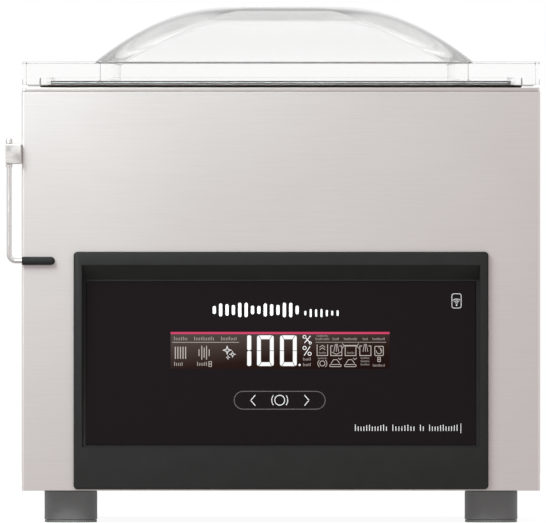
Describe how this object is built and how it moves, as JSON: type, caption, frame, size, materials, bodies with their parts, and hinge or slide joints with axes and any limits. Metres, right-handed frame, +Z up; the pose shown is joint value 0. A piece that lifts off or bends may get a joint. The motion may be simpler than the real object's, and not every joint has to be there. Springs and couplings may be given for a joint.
{
  "type": "vacuum packing machine",
  "caption": "Tabletop chamber vacuum packing machine: stainless casing, clear domed lid on a rear hinge, seal bar, touch panel, side swing arm.",
  "frame": {"origin": "centre of the object's box on the surface it stands on", "axes": "+Z up, the control front faces -Y, +X is the viewer's right"},
  "size_m": [0.4278, 0.5116, 0.4153],
  "materials": {
    "stainless": "satin brushed",
    "polished_steel": "polished",
    "aluminium": "satin",
    "acrylic": "clear polished",
    "gasket_silicone": "matte",
    "red_silicone": "matte",
    "black_rubber": "matte",
    "charcoal_plastic": "fine moulded texture",
    "gloss_black": "gloss",
    "display": "gloss",
    "circuit_board": "matte",
    "white_board": "satin",
    "ptfe_tape": "matte woven",
    "pump_paint": "satin",
    "sight_glass": "clear",
    "copper": "enamelled wire",
    "hose": "matte",
    "brass": "machined"
  },
  "bodies": {
    "housing": {"air_valve_coil": "charcoal_plastic", "arm_bracket": "stainless", "base_plate": "stainless", "body_casing": "stainless", "chamber_tub": "stainless", "control_bezel": "charcoal_plastic", "control_board": "circuit_board", "display_module": "display", "exhaust_filter": "charcoal_plastic", "fan_frame": "charcoal_plastic", "filler_plate": "white_board", "foot_front_left": "charcoal_plastic", "foot_front_right": "charcoal_plastic", "foot_rear_left": "charcoal_plastic", "foot_rear_right": "charcoal_plastic", "gas_inlet": "brass", "gas_nozzle_left": "polished_steel", "gas_nozzle_right": "polished_steel", "gas_valve_coil": "charcoal_plastic", "hinge_block_left": "aluminium", "hinge_block_right": "aluminium", "motor_cowl": "charcoal_plastic", "oil_sight_glass": "sight_glass", "power_board": "circuit_board", "power_inlet": "charcoal_plastic", "power_switch_frame": "charcoal_plastic", "pump_hose": "hose", "pump_motor": "aluminium", "rear_panel": "stainless", "seal_cylinder_left": "aluminium", "seal_cylinder_right": "aluminium", "seal_hose": "hose", "seal_valve_coil": "charcoal_plastic", "strut_bracket": "stainless", "suction_nozzle": "polished_steel", "touch_panel": "gloss_black", "transformer_coil": "copper", "transformer_core": "pump_paint", "vacuum_hose": "hose", "vacuum_pump": "pump_paint", "valve_manifold": "aluminium"},
    "lid": {"lid": "acrylic", "lid_gasket": "gasket_silicone", "lid_hinge_left": "stainless", "lid_hinge_right": "stainless", "hinge_shaft": "polished_steel", "hinge_lever": "stainless", "counter_bar": "aluminium", "counter_strip": "red_silicone"},
    "strut_cylinder": {"strut_cylinder": "charcoal_plastic"},
    "strut_rod": {"strut_rod": "polished_steel"},
    "seal_bar": {"seal_bar": "aluminium", "seal_tape": "ptfe_tape", "seal_piston_left": "polished_steel", "seal_piston_right": "polished_steel"},
    "swing_arm": {"swing_arm": "polished_steel", "arm_sleeve": "black_rubber"},
    "motor_rotor": {"motor_rotor": "charcoal_plastic"},
    "fan_rotor": {"fan_rotor": "charcoal_plastic"},
    "power_rocker": {"power_rocker": "charcoal_plastic"}
  },
  "joints": [
    {"name": "lid_hinge", "type": "hinge", "parent": "housing", "child": "lid", "pos_m": [0.0064, 0.2057, 0.3518], "axis": [-1, 0, 0], "range_deg": [0, 50]},
    {"name": "strut_tilt", "type": "hinge", "parent": "housing", "child": "strut_cylinder", "pos_m": [-0.0625, 0.1917, 0.062], "axis": [1, 0, 0], "range_deg": [0, 3]},
    {"name": "strut_slide", "type": "slide", "parent": "strut_cylinder", "child": "strut_rod", "axis": [0, 0.0238, 0.9997], "range_m": [0, 0.013]},
    {"name": "seal_bar_lift", "type": "slide", "parent": "housing", "child": "seal_bar", "axis": [0, 0, 1], "range_m": [0, 0.008]},
    {"name": "arm_swivel", "type": "hinge", "parent": "housing", "child": "swing_arm", "pos_m": [-0.2112, -0.2508, 0.2097], "axis": [0, 0, -1], "range_deg": [0, 270]},
    {"name": "motor_spin", "type": "hinge", "parent": "housing", "child": "motor_rotor", "pos_m": [0.0064, 0.0537, 0.105], "axis": [1, 0, 0], "continuous": true},
    {"name": "fan_spin", "type": "hinge", "parent": "housing", "child": "fan_rotor", "pos_m": [0.1464, 0.2064, 0.11], "axis": [0, 1, 0], "continuous": true},
    {"name": "power_rocker_tilt", "type": "hinge", "parent": "housing", "child": "power_rocker", "pos_m": [-0.1116, 0.2335, 0.075], "axis": [1, 0, 0], "range_deg": [0, 16]}
  ],
  "couplings": [
    {"joint": "strut_tilt", "follows": "lid_hinge", "ratio": 0.05647},
    {"joint": "strut_slide", "follows": "lid_hinge", "m_per_rad": 0.01448}
  ]
}
